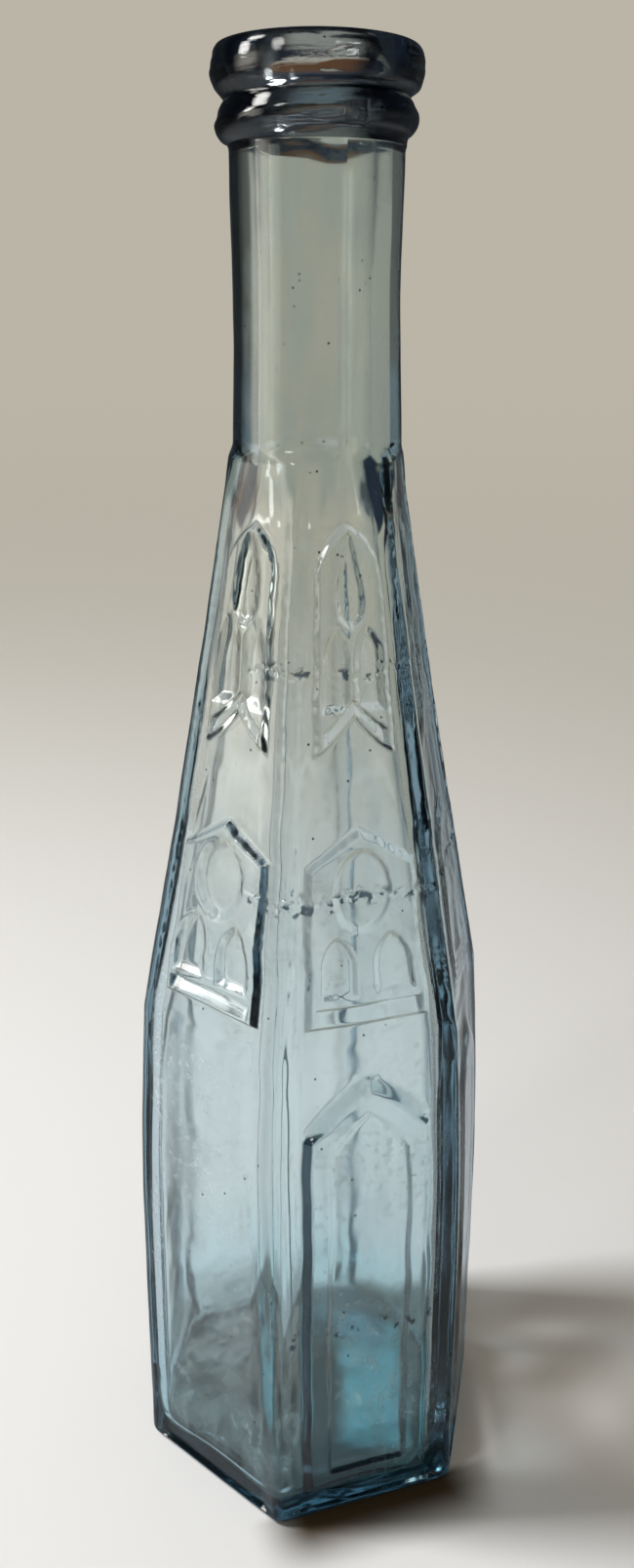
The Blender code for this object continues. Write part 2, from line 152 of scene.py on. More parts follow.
# Paired pointed lights: place beside the middle, half width, foot, spring and head
UPPER_LANCETS = (0.27, 0.19, 0.20, 0.40, 0.55)
LOWER_LANCETS = (0.33, 0.20, 0.16, 0.30, 0.47)
DOOR = (4.4, 71.3)
# The door and the panel sunk in it: half width, foot, eaves and head
DOOR_SHAPE = (0.66, 0.0, 0.88, 1.0)
PANEL_SHAPE = (0.42, 0.05, 0.84, 0.93)

# Steps across a flat, closest together at the jambs, and round half a corner
FLAT_STEPS = 104
CORNER_STEPS = 5
JAMB_PLACE = 0.73
JAMB_REACH = 0.07
JAMB_CROWDING = 3.0
# Rings up the outside: from, to and rough spacing, closest where there is relief
WALL_STEPS = ((HEEL_RADIUS, 3.2, 0.5), (3.2, 5.2, 0.14), (5.2, 9.0, 0.3), (9.0, 27, 0.9), (27, 35, 0.35),
              (35, 60, 0.9), (60, 73, 0.27), (73, 79.5, 0.6), (79.5, 80.8, 0.13), (80.8, 109, 0.27),
              (109, 118.5, 0.7), (118.5, 154, 0.26), (154, SHOULDER_Z, 0.5))

# Unevenness outside and inside
RELIEF_WANDER = 0.12
RELIEF_CRUMBLE = 0.04
OUTSIDE_WOBBLE = 0.05
OUTSIDE_RIPPLE = 0.012
INSIDE_SWELL = 0.16
INSIDE_STREAK = 0.02
INSIDE_CRUMB = 0.003

# Spare glass that ran down from the lip, and a fold beside it
UNDER_LIP_RADIUS = 13.2
DRIP_TURN = math.radians(-98)
DRIP_Z = 205.4
DRIP_FOOT_Z = 202.5
DRIP_HEIGHT = 0.42
DRIP_HALF = (1.4, 1.2)
APRON_HEIGHT = 0.12
APRON_HALF = 7.5
FOLD_TURN = math.radians(-80)
FOLD_DEPTH = 0.16
FOLD_HALF = 0.16

# Mould seams up two opposite corners
SEAM_TURNS = (-SIXTH, 2 * SIXTH)
SEAM_HEIGHT = 0.14
SEAM_ON_NECK = 1.7
SEAM_ON_BODY = 0.4
SEAM_HALF = 0.24
SEAM_RANGE = (5.0, 202.0)
# Lines of small pits where the mould was worn: height, half height and depth
PIT_LINES = ((98.6, 0.62, 0.50), (131.2, 0.5, 0.28))
PIT_DENSITY = 0.5
# Pits and crumbs fade out beyond the axis, ahead, and towards the left edge
PITS_AHEAD = (10, 2)
PITS_RIGHT = (-11.8, -9.8)

# Painted shade on the slopes: how dark they are on the front face and the one left of it, over four heights
SLOPE_SHADE_RANGE = (0.20, 0.85)
SLOPE_SHADE_HEIGHTS = (74, 78, 110, 116)
SLOPE_SHADED_FACES = ((0, 1, (1.0, 0.52, 0.52, 0.26)), (5, -1, (1.0, 1.0, 1.0, 0.6)))
NARROWEST_FLAT = 5

# The lip's outline, up the outside and down into the bore: radius and height
LIP_OUTLINE = ((13.45, 207.8), (13.85, 208.4), (14.6, 209.0), (15.25, 210.1), (15.4, 211.2), (15.1, 212.4),
               (14.7, 213.4), (14.35, 214.1), (14.75, 214.8), (15.6, 215.7), (15.97, 216.9), (16.02, 218.0),
               (15.9, 219.4), (15.6, 220.7), (15.0, 221.5), (14.0, 221.85), (12.4, 221.97), (10.6, 221.9),
               (9.7, 221.4), (9.2, 220.4), (9.02, 219.0), (NECK_BORE, 218.2))
LIP_STEPS = 7
LIP_SIDES = 384
LIP_TOOLED = 0.15
LIP_FINE = 0.012
LIP_RIDGE = 0.045
# The rings lean to one side and arch twice round, and the top of the lip doesn't
TILT_TURN = math.radians(-18.8)
TILT = 0.55
ARCH = 0.35
TILT_FADE = (216.5, 211.5)


def between(low, high, share):
    return low + (high - low) * share


def smooth_step(low, high, value):
    share = np.clip((value - low) / (high - low), 0, 1)
    return share * share * (3 - 2 * share)


def waves(seed, count, shortest, longest):
    """A smooth random field, about 1 high: a sum of plane waves."""
    random = np.random.RandomState(seed)
    directions = random.normal(size=(count, 3))
    directions /= np.linalg.norm(directions, axis=1)[:, None]
    lengths = random.uniform(shortest, longest, count)
    phases = random.uniform(0, 2 * math.pi, count)

    def field(x, y, z):
        total = 0
        for direction, length, phase in zip(directions, lengths, phases):
            along = direction[0] * x + direction[1] * y + direction[2] * z
            total = total + np.sin(2 * math.pi * along / length + phase)
        return total / math.sqrt(count / 2)

    return field


def corner_distance(z):
    lower_share = np.clip(z / KINK_Z, 0, 1)
    swell = BELLY_SWELL * np.sin(math.pi * lower_share ** BELLY_LEAN)
    lower = between(BASE_CORNER, KINK_CORNER, lower_share) + swell
    upper_share = np.clip((z - KINK_Z) / (SHOULDER_Z - KINK_Z), 0, 1)
    hollow = TAPER_HOLLOW * np.sin(math.pi * upper_share)
    upper = between(KINK_CORNER, SHOULDER_CORNER, upper_share) - hollow
    return np.where(z <= KINK_Z, lower, upper)


def edge_radius(z):
    share = np.clip((z - KINK_Z) / (SHOULDER_Z - KINK_Z), 0, 1)
    crown = (CROWN_EDGE_RADIUS - SHOULDER_EDGE_RADIUS) * smooth_step(CROWN_Z, SHOULDER_Z, z)
    return between(BODY_EDGE_RADIUS, SHOULDER_EDGE_RADIUS, share) + crown


def apothem(z):
    rounding = edge_radius(z)
    return (corner_distance(z) - rounding) * math.cos(HALF_SIXTH) + rounding * EDGE_SCALE


def half_face(z):
    return apothem(z) * math.tan(HALF_SIXTH)


def neck_radius(z):
    waist_z = between(SHOULDER_Z, LIP_FOOT_Z, NECK_WAIST_SHARE)
    low = (1 - np.cos(math.pi * np.clip((waist_z - z) / (waist_z - SHOULDER_Z), 0, 1))) / 2
    high = (1 - np.cos(math.pi * np.clip((z - waist_z) / (LIP_FOOT_Z - waist_z), 0, 1))) / 2
    return NECK_WAIST + (NECK_FOOT - NECK_WAIST) * low + (NECK_HEAD - NECK_WAIST) * high


def joint_point(share):
    """Radius and height on the joint: share is 0 on the outside of the neck and 1 at the bore."""
    return between(neck_radius(JOINT_Z), NECK_BORE, share), between(JOINT_Z, JOINT_TOP_Z, share)


def flat_places():
    """Places across a flat from -1 to 1, closest together where the jambs stand."""
    fine = np.linspace(-1, 1, 4001)
    density = 1 + JAMB_CROWDING * np.exp(-((np.abs(fine) - JAMB_PLACE) / JAMB_REACH) ** 2)
    reach = np.concatenate(([0], np.cumsum((density[1:] + density[:-1]) / 2)))
    return np.interp(np.linspace(0, reach[-1], FLAT_STEPS + 1), reach, fine)


FLAT_PLACES = flat_places()


def face_section(corner, rounding):
    """Half corner, flat and half corner of one face: distances outwards and across."""
    arc = np.linspace(0, HALF_SIXTH, CORNER_STEPS + 1)
    centre_out = (corner - rounding) * math.cos(HALF_SIXTH)
    centre_across = (corner - rounding) * math.sin(HALF_SIXTH)
    flat = FLAT_PLACES * centre_across
    out = np.concatenate((centre_out + rounding * EDGE_SCALE * np.cos(arc[:0:-1]),
                          np.full(flat.shape, centre_out + rounding * EDGE_SCALE),
                          centre_out + rounding * EDGE_SCALE * np.cos(arc[1:-1])))
    across = np.concatenate((-centre_across - rounding * EDGE_SCALE * np.sin(arc[:0:-1]),
                             flat,
                             centre_across + rounding * EDGE_SCALE * np.sin(arc[1:-1])))
    return out, across


def face_turn(face):
    return face * SIXTH - math.pi / 2


def placed(out, across, face):
    """X and y of places that are given outwards from and across a face."""
    turn = face_turn(face)
    return out * math.cos(turn) - across * math.sin(turn), out * math.sin(turn) + across * math.cos(turn)


def pointed_arch(u, z, half, spring, top):
    """Signed distance, roughly, to a pointed arch on straight sides."""
    height = np.maximum(z - spring, 0) / (top - spring) * math.sin(SIXTH) * 2 * half
    return np.sqrt((np.abs(u) + half) ** 2 + height ** 2) - 2 * half


def step_of(distance, slope):
    """1 well inside an outline and 0 outside: a straight slope with softened ends."""
    across = -distance / slope
    ends = np.sqrt((across + 0.5) ** 2 + STEP_SOFTNESS) - np.sqrt((across - 0.5) ** 2 + STEP_SOFTNESS)
    return (ends + 1) / 2


def framed(outline, sill, height, openings, steepness, depth_share):
    """A proud frame with sunk lights over a sloping sill. The outline is the distance to its edge."""
    edge = np.maximum(outline, -sill)
    proud = height * step_of(edge, height / SIDE_STEEPNESS)
    slope = np.clip(sill / SILL_HEIGHT, 0, 1)
    on_sill = step_of(np.maximum(sill - SILL_HEIGHT, outline + SILL_INSET), 0.5)
    over_sill = 1 - (1 - SILL_LEDGE_SHARE) * slope * on_sill
    sunk = step_of(np.minimum.reduce(openings), height * depth_share / steepness)
    return proud * over_sill * (1 - sunk * depth_share)


def lancets(u, z, half, window, shape):
    """The two pointed lights low in a window."""
    low, high = window
    size = high - low
    place, width, foot, spring, head = shape
    pair = []
    for side in (-1, 1):
        arch = pointed_arch(u - side * place * half, z, width * half, low + spring * size, low + head * size)
        pair.append(np.maximum(arch, low + foot * size - z))
    return pair


def upper_window(u, z, half, steepness):
    """A pointed window on a pointed sill, with a drop-shaped light over two lancets."""
    low, high = UPPER_WINDOW
    size = high - low
    frame_half = UPPER_HALF * half
    arch = pointed_arch(u, z, frame_half, low + UPPER_SPRING * size, high)
    point = np.clip(1 - np.abs(u) / frame_half, 0, 1) ** UPPER_SILL_CURVE
    sill = z - low - UPPER_SILL_POINT * size * point
    low_drop, high_drop = (low + share * size for share in DROP_HEIGHTS)
    up = np.clip((z - low_drop) / (high_drop - low_drop), 0.0005, 0.9995)
    width = DROP_HALF * half * 2 * np.sqrt(up * (1 - up)) * (1 - up) ** DROP_CURVE
    openings = [np.maximum(np.abs(u) - width, np.maximum(low_drop - z, z - high_drop))]
    openings.extend(lancets(u, z, half, UPPER_WINDOW, UPPER_LANCETS))
    return framed(arch, sill, UPPER_RAISE, openings, steepness, DROP_DEPTH_SHARE)


def lower_window(u, z, half, steepness):
    """A gabled window, with an oval light over two lancets."""
    low, high = LOWER_WINDOW
    size = high - low
    pitch = math.atan2(high - (low + LOWER_EAVES * size), LOWER_HALF * GABLE_HALF_FACE)
    gable = (z - high) * math.cos(pitch) + np.abs(u) * math.sin(pitch)
    outline = np.maximum(np.abs(u) - LOWER_HALF * half, gable)
    middle, rise = low + OVAL_MIDDLE * size, OVAL_RISE * size
    oval = np.sqrt((u / (OVAL_HALF * half)) ** 2 + ((z - middle) / rise) ** 2)
    openings = [(oval - 1) * OVAL_HALF * half]
    openings.extend(lancets(u, z, half, LOWER_WINDOW, LOWER_LANCETS))
    return framed(outline, z - low, LOWER_RAISE, openings, steepness, LIGHT_DEPTH_SHARE)


def door_outline(u, z, half_width, shape):
    """Signed distance, roughly, to a gabled outline whose gable swells a little."""
    low, high = DOOR
    share, foot, eaves, head = shape
    half = share * half_width
    foot, eaves, head = (low + part * (high - low) for part in (foot, eaves, head))
    swell = GABLE_SWELL * np.sin(math.pi * np.clip((z - eaves) / (head - eaves), 0, 1))
    width = half * np.clip(1 - (z - eaves) / (head - eaves), 0, 1) + half * swell
    steep = half / (head - eaves)
    gentler = GABLE_STEEPNESS_SHARE / np.sqrt(1 + steep * steep)
    above = (np.abs(u) - width) * between(1.0, gentler, smooth_step(eaves, eaves + 1.6, z))
    outline = np.where(z > eaves, above, np.abs(u) - half)
    outline = np.maximum(outline, z - head)
    return np.maximum(outline, foot - z)


def door(u, z, half, steepness):
    """A raised gabled door with a sunk panel."""
    panel = PANEL_DEPTH * step_of(door_outline(u, z, half, PANEL_SHAPE), PANEL_DEPTH / steepness)
    return DOOR_RAISE * step_of(door_outline(u, z, half, DOOR_SHAPE), DOOR_RAISE / DOOR_STEEPNESS) - panel


def sharp_relief(face, u, z, half):
    proud = 0
    steepness = FRONT_LIGHT_STEEPNESS if face == 0 else LIGHT_STEEPNESS
    for form in (upper_window, lower_window) + ((door,) if face in DOOR_FACES else ()):
        proud = proud + form(u, z, half, steepness)
    return proud


def relief(face, u, z):
    """How far the mould relief stands out from a face. It was struck more softly at the sides and behind."""
    half = half_face(z)
    dip = FACE_DIP * smooth_step(*DIP_SIDES, np.abs(u) / half) * smooth_step(SHOULDER_Z, DIP_TOP_Z, z)
    if face not in SOFT_FACES:
        return sharp_relief(face, u, z, half) - dip
    spots = [(a, b) for a in (-1, 0, 1) for b in (-1, 0, 1)]
    soft = sum(sharp_relief(face, u + SOFT_BLUR * a, z + SOFT_BLUR * b, half) for a, b in spots)
    return soft / len(spots) * SOFT_FACES[face] - dip


def turned(angles, centre):
    """Distance round the neck from a direction."""
    return UNDER_LIP_RADIUS * np.angle(np.exp(1j * (angles - centre)))


def drip(angles, z):
    """How far the spare glass stands out from the neck below the lip."""
    away = turned(angles, DRIP_TURN)
    lowest = DRIP_Z + 1.0 - 0.9 * np.exp(-(away / 2.6) ** 2) + 0.3 * np.sin(away * 0.9)
    apron = APRON_HEIGHT * smooth_step(lowest - 0.9, lowest + 0.9, z) * np.exp(-(away / APRON_HALF) ** 4)
    half_across, half_up = DRIP_HALF
    drop = DRIP_HEIGHT * np.exp(-(away / half_across) ** 2 - ((z - DRIP_Z) / half_up) ** 2)
    return apron + drop


def seam(x, y, z):
    """How far the two mould seams stand out."""
    proud = 0
    for turn in SEAM_TURNS:
        beside = y * math.cos(turn) - x * math.sin(turn)
        ahead = x * math.cos(turn) + y * math.sin(turn) > 0
        proud = proud + ahead * np.exp(-(beside / SEAM_HALF) ** 2)
    low, high = SEAM_RANGE
    ends = smooth_step(low, low + 3, z) * smooth_step(high, high - 6, z)
    return SEAM_HEIGHT * (SEAM_ON_NECK if z > SHOULDER_Z else SEAM_ON_BODY) * proud * ends


def pits(x, y, z, crumb, wander):
    """How far small pits go in, along their level lines."""
    depth = 0
    for height, half, deep in PIT_LINES:
        away = (z - height + 0.5 * wander(x, y, z)) / half
        depth = depth + deep * np.exp(-away ** 2)
    onward = x * AHEAD[0] + y * AHEAD[1]
    beside = x * RIGHT[0] + y * RIGHT[1]
    near = smooth_step(*PITS_AHEAD, onward) * smooth_step(*PITS_RIGHT, beside)
    return depth * near * np.clip((crumb(x, y, z) - PIT_DENSITY) / 0.6, 0, 1)


def wall_heights():
    heights = []
    for low, high, step in WALL_STEPS:
        heights.extend(np.linspace(low, high, int(round((high - low) / step)), endpoint=False))
    return heights


def body_outside():
    """Rings of the outside, from the middle of the push-up to the joint under the lip."""
    wobble = waves(SEED, 14, 14, 40)
    ripple = waves(SEED + 1, 18, 4, 9)
    relief_shift = waves(SEED + 2, 10, 8, 20)
    crumb = waves(SEED + 10, 28, 0.9, 2.2)
    wander = waves(SEED + 11, 8, 6, 18)
    rings = []

    def add_ring(corner, rounding, z, relief_on=False, rough=1.0):
        points = []
        for face in range(FACES):
            out, across = face_section(corner, rounding)
            x, y = placed(out, across, face)
            if relief_on:
                crumble = RELIEF_CRUMBLE * crumb(x, y, z) * (z > LOWER_WINDOW[0] + 4)
                shift = RELIEF_WANDER * relief_shift(x, y, z) + crumble
                out = out + relief(face, across + shift, z + shift)
                out = out - pits(x, y, z, crumb, wander)
            bend = OUTSIDE_WOBBLE * (wobble(x, y, z) - 1) + OUTSIDE_RIPPLE * (ripple(x, y, z) - 1)
            out = out + np.minimum(rough * bend, 0)
            if rough > 0:
                out = out + seam(x, y, z)
                if z > DRIP_FOOT_Z:
                    out = out + drip(np.arctan2(y, x), z) * rough
            x, y = placed(out, across, face)
            points.append(np.stack((x, y, np.full(across.shape, z)), axis=1))
        rings.append(np.concatenate(points))

    rest = apothem(0.0) - HEEL_RADIUS - REST_RING
    for share in np.linspace(0, 1, 17)[1:-1]:
        radius = rest * share
        add_ring(radius, radius, PUSH_UP * math.cos(math.pi / 2 * share), rough=0.0)
    for share in np.linspace(0, 1, 6)[:-1]:
        corner = between(rest, BASE_CORNER - HEEL_RADIUS, share)
        add_ring(corner, between(rest, BODY_EDGE_RADIUS, share), 0.0, rough=0.0)
    for angle in np.linspace(0, math.pi / 2, 8)[:-1]:
        height = HEEL_RADIUS * (1 - math.cos(angle))
        corner = corner_distance(height) - HEEL_RADIUS * (1 - math.sin(angle))
        add_ring(corner, BODY_EDGE_RADIUS, height, rough=math.sin(angle))
    for z in wall_heights():
        add_ring(corner_distance(z), edge_radius(z), z, relief_on=True)
    foot_z = SHOULDER_Z + SHOULDER_ROUNDING
    foot = neck_radius(foot_z)
    for share in np.linspace(0, 1, 12)[:-1]:
        ease = smooth_step(0, 1, share)
        corner = between(corner_distance(SHOULDER_Z), foot, ease)
        flat = between(apothem(SHOULDER_Z), foot * EDGE_SCALE, ease)
        rounding = (flat - corner * math.cos(HALF_SIXTH)) / (EDGE_SCALE - math.cos(HALF_SIXTH))
        add_ring(corner, min(rounding, corner), between(SHOULDER_Z, foot_z, share))
    neck_heights = [*np.linspace(foot_z, DRIP_FOOT_Z, 44)[:-1], *np.linspace(DRIP_FOOT_Z, JOINT_Z, 20)]
    for z in neck_heights:
        add_ring(neck_radius(z), neck_radius(z), z, rough=min(1.0, (JOINT_Z - z) / 0.7))
    for share in np.linspace(0, 1, JOINT_STEPS + 1)[1:]:
        radius, z = joint_point(share)
        add_ring(radius, radius, z, rough=0.0)
    return rings


def cavity_section(z):
    """Corner distance and edge rounding of the hollow."""
    if z >= THROAT_TOP_Z:
        return NECK_BORE, NECK_BORE
    throat_z = THROAT_TOP_Z - THROAT
    if z > throat_z:
        share = smooth_step(0, 1, (z - throat_z) / THROAT)
        reach = between(apothem(throat_z) - WALL, NECK_BORE, share)
        rounding = between(CAVITY_TOP_EDGE, NECK_BORE, share)
    else:
        reach = apothem(z) - WALL
        share = min(max((z - KINK_Z) / (throat_z - KINK_Z), 0), 1)
        rounding = between(CAVITY_EDGE, CAVITY_TOP_EDGE, share)
    rounding = min(rounding, reach)
    return (reach - rounding) / math.cos(HALF_SIXTH) + rounding, rounding


def body_inside():
    """Rings of the hollow, from the joint under the lip down to the middle of the floor."""
    swell = waves(SEED + 3, 16, 24, 70)
    streak = waves(SEED + 4, 16, 7, 16)
    crumb = waves(SEED + 8, 20, 1.6, 3.2)
    rings = []

    def add_ring(corner, rounding, z, scale=1.0, floor=0.0, rough=1.0):
        shift = HOLLOW_SHIFT * (1 - smooth_step(*HOLLOW_SHIFT_RANGE, z))
        points = []
        for face in range(FACES):
            out, across = face_section(corner, rounding)
            x, y = placed(out * scale, across * scale, face)
            bend = INSIDE_SWELL * swell(x, y, z * 0.25) + INSIDE_STREAK * streak(x, y, z * 0.15)
            bend = rough * (bend + INSIDE_CRUMB * crumb(x, y, z * 0.6))
            angle = np.arctan2(y, x)
            lift = floor * (0.5 + 0.5 * np.cos(6 * angle + 3 * math.pi))
            x = x - bend * np.cos(angle) + shift * math.cos(HOLLOW_SHIFT_TURN)
            y = y - bend * np.sin(angle) + shift * math.sin(HOLLOW_SHIFT_TURN)
            points.append(np.stack((x, y, z + lift), axis=1))
        rings.append(np.concatenate(points)[::2])

    for z in np.linspace(JOINT_TOP_Z, CAVITY_FOOT_Z, 244)[1:]:
        add_ring(*cavity_section(z), z, rough=min(1.0, (JOINT_TOP_Z - z) / 8))
    corner, rounding = cavity_section(FLOOR_CORNER_Z)
    for share in np.linspace(0, 1, 14)[1:]:
        angle = math.pi / 2 * share
        inset = CAVITY_FOOT_ROUND * (1 - math.cos(angle)) * CAVITY_FOOT_INSET
        rise = (CAVITY_FOOT_Z - FLOOR_CORNER_Z) * (1 - math.sin(angle)) ** CAVITY_FOOT_POWER
        add_ring(corner, rounding, FLOOR_CORNER_Z + rise, scale=(corner - inset) / corner,
                 floor=FLOOR_FACE_RISE * share ** 3)
    edge_scale = (corner - CAVITY_FOOT_ROUND * CAVITY_FOOT_INSET) / corner
    for share in np.linspace(1, 0, 22)[1:-1]:
        rise = FLOOR_RISE * (1 - share ** 2)
        add_ring(corner, rounding, FLOOR_CORNER_Z + rise, scale=edge_scale * share,
                 floor=FLOOR_FACE_RISE * share ** 2, rough=share)
    return rings


def quads_between(low_start, high_start, count):
    """Four-sided faces from one closed ring of points to the next."""
    number = np.arange(count)
    after = (number + 1) % count
    corners = (low_start + number, low_start + after, high_start + after, high_start + number)
    return np.stack(corners, axis=1).tolist()


def add_object(name, data):
    item = bpy.data.objects.new(name, data)
    bpy.context.scene.collection.objects.link(item)
    return item


def make_mesh(name, points, polygons, inside_from):
    """A smooth mesh whose points from one number on are marked as inside the bottle."""
    data = bpy.data.meshes.new(name)
    data.from_pydata((points * MM).tolist(), [], polygons)
    data.validate()
    inside = data.attributes.new("inside", "FLOAT", "POINT")
    inside.data.foreach_set("value", (np.arange(len(points)) >= inside_from).astype(float))
    item = add_object(name, data)
    data.shade_smooth()
    data.set_sharp_from_angle(angle=math.radians(55))
    return item


def corner_slope_shade(rings):
    """How steeply the relief on the two front faces leans towards the corner between them, from 0 to 1: the
    share of painted shade on those slopes.
    """
    shares = []
    for ring in rings:
        share = np.zeros(len(ring))
        for face, side, strengths in SLOPE_SHADED_FACES:
            turn = face_turn(face)
            first = face * len(ring) // FACES + CORNER_STEPS
            flat = slice(first, first + FLAT_STEPS + 1)
            out = ring[flat, 0] * math.cos(turn) + ring[flat, 1] * math.sin(turn)
            across = ring[flat, 1] * math.cos(turn) - ring[flat, 0] * math.sin(turn)
            if across[-1] - across[0] > NARROWEST_FLAT:
                strength = np.interp(ring[0, 2], SLOPE_SHADE_HEIGHTS, strengths)
                share[flat] = strength * smooth_step(*SLOPE_SHADE_RANGE, side * np.gradient(out, across))
        shares.append(share)
    return np.concatenate(shares)


def build_body():
    """Closed glass: outside, joint and inside, with a point in the middle of the base and of the floor."""
    outside = body_outside()
    inside = body_inside()
    count = len(outside[0])
    half = len(inside[0])
    foot = np.array([[0, 0, PUSH_UP]])
    floor = np.array([[0, 0, FLOOR_CORNER_Z + FLOOR_RISE]])
    stacked = np.concatenate([foot, *outside, *inside, floor])
    polygons = [(0, 1 + (number + 1) % count, 1 + number) for number in range(count)]
    for ring in range(len(outside) - 1):
        polygons.extend(quads_between(1 + ring * count, 1 + (ring + 1) * count, count))
    rim = 1 + (len(outside) - 1) * count
    inner = 1 + len(outside) * count
    for number in range(half):
        after = (number + 1) % half
        polygons.append((rim + 2 * number, rim + 2 * number + 1, rim + (2 * number + 2) % count,
                         inner + after, inner + number))
    for ring in range(len(inside) - 1):
        polygons.extend(quads_between(inner + ring * half, inner + (ring + 1) * half, half))
    last = inner + (len(inside) - 1) * half
    tip = len(stacked) - 1
    polygons.extend((last + number, last + (number + 1) % half, tip) for number in range(half))
    body = make_mesh("bottle_glass", stacked, polygons, inner)
    # The slope attribute carries the painted shade on the relief's steep sides.
    slope_shades = np.zeros(len(stacked))
    slope_shades[1:inner] = corner_slope_shade(outside)
    body.data.attributes.new("slope", "FLOAT", "POINT").data.foreach_set("value", slope_shades)
    return body


def spline(points, steps):
    """Points on a Catmull-Rom curve through the given ones."""
    padded = np.vstack((points[0] * 2 - points[1], points, points[-1] * 2 - points[-2]))
    result = []
    for number in range(1, len(padded) - 2):
        before, start, end, after = padded[number - 1:number + 3]
        for t in np.linspace(0, 1, steps, endpoint=False):
            result.append(0.5 * (2 * start + (end - before) * t
                                 + (2 * before - 5 * start + 4 * end - after) * t ** 2
                                 + (3 * start - before - 3 * end + after) * t ** 3))
    result.append(points[-1])
    return np.array(result)


def fold(angles, z):
    """A thin groove where the laid-on glass closes on itself."""
    wander = 0.25 * math.sin(z * 0.9) + 0.1 * math.sin(z * 2.3)
    away = turned(angles, FOLD_TURN) + wander
    share = smooth_step(JOINT_Z + 0.3, JOINT_Z + 1.5, z) * smooth_step(214.5, 213.0, z)
    return FOLD_DEPTH * share * np.exp(-(away / FOLD_HALF) ** 2)


def build_lip():
    """One ring of glass: down the cone of the joint, then up the outline and back into the bore."""
    joint_foot = (joint_point(0)[0], JOINT_Z + JOINT_GAP)
    profile = spline(np.array([joint_foot, *LIP_OUTLINE, (NECK_BORE, JOINT_TOP_Z + JOINT_GAP)]), LIP_STEPS)
    angles = np.linspace(0, 2 * math.pi, LIP_SIDES, endpoint=False)
    tool = waves(SEED + 5, 14, 8, 24)
    fine = waves(SEED + 6, 14, 2, 5)
    ridge = waves(SEED + 9, 14, 0.8, 2.6)
    rows = []

    def add_row(radius, z):
        places = (radius * np.cos(angles), radius * np.sin(angles), np.full(LIP_SIDES, z))
        rows.append(np.stack(places, axis=1))

    for share in np.linspace(1, 0, JOINT_STEPS + 1)[1:-1]:
        radius, z = joint_point(share)
        add_row(radius, z + JOINT_GAP)
    for radius, z in profile:
        grip = smooth_step(JOINT_Z, JOINT_Z + 1.5, z) * smooth_step(TOP_Z + 0.3, TOP_Z - 1.5, z)
        grip = grip * smooth_step(NECK_BORE + 0.2, NECK_BORE + 1.5, radius)
        x = radius * np.cos(angles)
        y = radius * np.sin(angles)
        tooled = LIP_TOOLED * (tool(x, y, z * 1.5) - 1) + LIP_FINE * fine(x, y, z * 2)
        bend = np.minimum(grip * (tooled + LIP_RIDGE * ridge(x * 0.12, y * 0.12, z)), 0)
        if radius > NECK_WAIST - 0.5:
            bend = bend - fold(angles, z)
        lean = TILT * np.cos(angles - TILT_TURN) + ARCH * np.cos(2 * (angles - DRIP_TURN))
        add_row(radius + bend, z + grip * lean * smooth_step(*TILT_FADE, z))
    polygons = []
    for row in range(len(rows) - 1):
        polygons.extend(quads_between(row * LIP_SIDES, (row + 1) * LIP_SIDES, LIP_SIDES))
    polygons.extend(quads_between((len(rows) - 1) * LIP_SIDES, 0, LIP_SIDES))
    points = np.concatenate(rows)
    return make_mesh("lip_glass", points, polygons, len(points))


# Painted shade where the glass is seen edge-on: from, to, dark colour, how much more on the left (or, below
# 0, on the right), and the height below which it eases off. The glass: tints below and above, colour and
# strength of the absorption, haze inside, painted edge shade, stretch of the streaks, fineness and depth of
# the ripple.
BODY_EDGE_SHADE = (0.58, 0.92, (0.005, 0.008, 0.011), 0.38, 0.158)
LIP_EDGE_SHADE = (0.16, 0.47, (0.004, 0.007, 0.015), -0.36, 0.0)
BODY_GLASS = (((0.92, 0.985, 1.0), (0.99, 0.985, 0.945)), (0.16, 0.45, 0.58), 50,
              (0.84, 0.91, 0.93), BODY_EDGE_SHADE, (1, 1, 0.22), (420, 0.00002))
LIP_GLASS = (((0.96, 0.97, 0.98), (0.96, 0.97, 0.98)), (0.30, 0.40, 0.46), 75,
             (0.96, 0.97, 0.98), LIP_EDGE_SHADE, (0.12, 0.12, 1), (1100, 0.0002))
EDGE_SHADE_EASE = 0.17
TINT_HEIGHTS = (0.055, 0.150)
BASE_TINT = (0.70, 0.93, 1.0)
BASE_TINT_HEIGHTS = (0.004, 0.030)
RIPPLE_STRENGTH = 0.25
# Streaks, clouds and speckle of haze on the inside. Each noise is given as fineness and detail.
STREAK_NOISE = (260, 5)
STREAKS = (0.42, 0.72)
CLOUD_NOISE = (60, 3)
CLOUDS = (0.40, 0.75)
INSIDE_ROUGHNESS = 0.07
HAZE_ROUGHNESS = 0.12
HAZE_CLOUDING = 0.22
SPECKLE_NOISE = (700, 4)
SPECKLE = (0.50, 0.66)
SPECKLE_CLOUDING = 0.42
# A film of old residue low on the left of the hollow, with an edge that runs
FILM_SHARE = 0.40
FILM_STREAKS = (0.30, 0.62)
FILM_COLOUR = (0.54, 0.62, 0.63)
FILM_HEIGHTS = (0.0070, 0.0135)
FILM_RUN = 0.018
# The blue-green glass low on the right of the hollow
BASE_AQUA = (0.70, 0.96, 1.0)
BASE_AQUA_HEIGHTS = (0.009, 0.014)
BASE_AQUA_SIDE = (-0.0045, 0.0005)
# Lines of dark crumbs in the surface: height, half height and the least noise that makes one
CRUMB_LINES = ((0.0984, 0.0014, 0.52), (0.1312, 0.0010, 0.56), (0.0310, 0.0024, 0.60))
CRUMB_NOISE = (560, 4)
CRUMB_COLOUR = (0.03, 0.05, 0.07)
CRUMB_WANDER_NOISE = (110, 2)
CRUMB_WANDER = 0.006
# Painted shade: steep sides of the relief are coloured dark where they lean towards the front corner
SLOPE_SHADE_COLOUR = (0.014, 0.034, 0.054)
SPECK_SPACING = 230
SPECK_SIZE = 0.045
